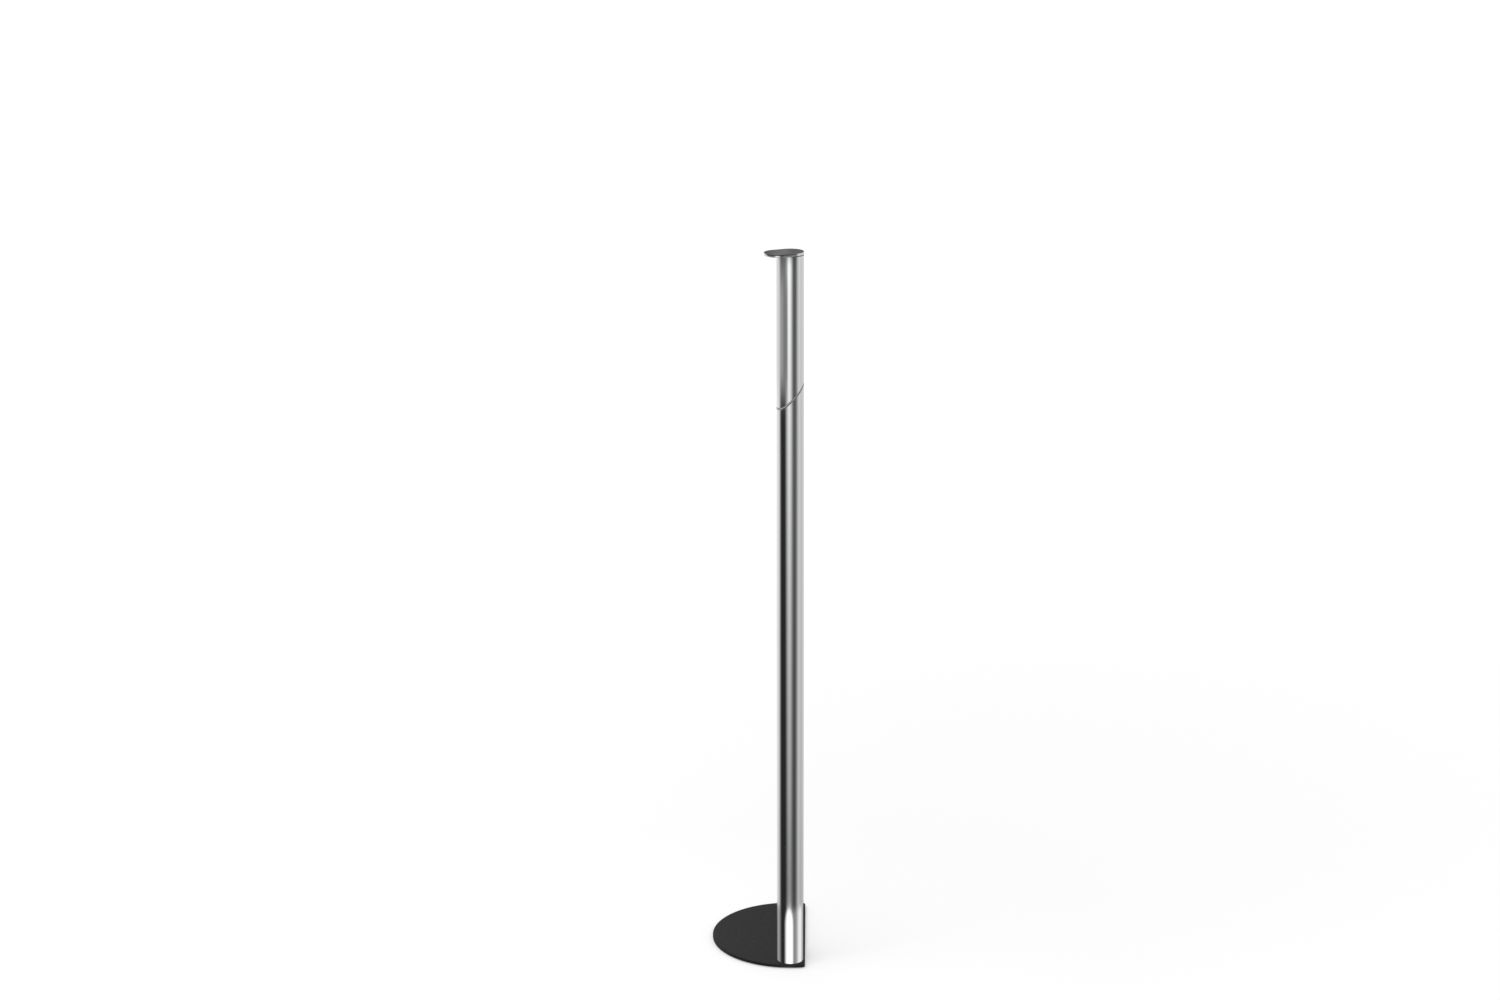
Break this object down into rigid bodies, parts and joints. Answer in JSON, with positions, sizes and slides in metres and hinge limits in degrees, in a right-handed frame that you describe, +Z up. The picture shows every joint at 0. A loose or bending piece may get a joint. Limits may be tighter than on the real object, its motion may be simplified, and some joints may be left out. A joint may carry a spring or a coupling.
{
  "type": "freestanding toilet paper holder",
  "caption": "Slim upright tube on a flat plate; its top part swivels half a turn on a slanted seam and lies level to take a toilet roll.",
  "frame": {"origin": "centre of the plate's round edge, on the floor", "axes": "+Z up along the post; +X square to the plate's straight side, outwards; the post stands on -Y"},
  "size_m": [0.089, 0.1538, 0.6808],
  "materials": {
    "polished_steel": "mirror polished stainless steel",
    "black_powder_coat": "fine matt powder coat",
    "black_rubber": "matt sheet",
    "grey_acetal": "smooth bearing plastic",
    "machined_steel": "turned",
    "black_oxide_screw": "black oxide",
    "spring_steel": "plain spring steel"
  },
  "bodies": {
    "stand": {"base_plate": "black_powder_coat", "anti_slip_pad": "black_rubber", "base_screw": "black_oxide_screw", "base_dowel": "machined_steel", "post_foot_plug": "machined_steel", "post_tube": "polished_steel", "lower_mitre_plug": "machined_steel", "post_grub_screw": "black_oxide_screw", "seam_washer": "grey_acetal", "swivel_bolt": "machined_steel", "disc_spring_lower": "spring_steel", "disc_spring_upper": "spring_steel", "stop_pin": "machined_steel"},
    "arm": {"arm_tube": "polished_steel", "upper_mitre_plug": "machined_steel", "arm_grub_screw": "black_oxide_screw", "arm_end_plug": "machined_steel", "end_cap": "polished_steel", "cap_screw": "black_oxide_screw", "cap_dowel": "machined_steel"}
  },
  "joints": [
    {"name": "arm_swivel", "type": "hinge", "parent": "stand", "child": "arm", "pos_m": [0, -0.061, 0.5508], "axis": [-0.6355, -0.31, 0.7071], "range_deg": [0, 180]}
  ]
}
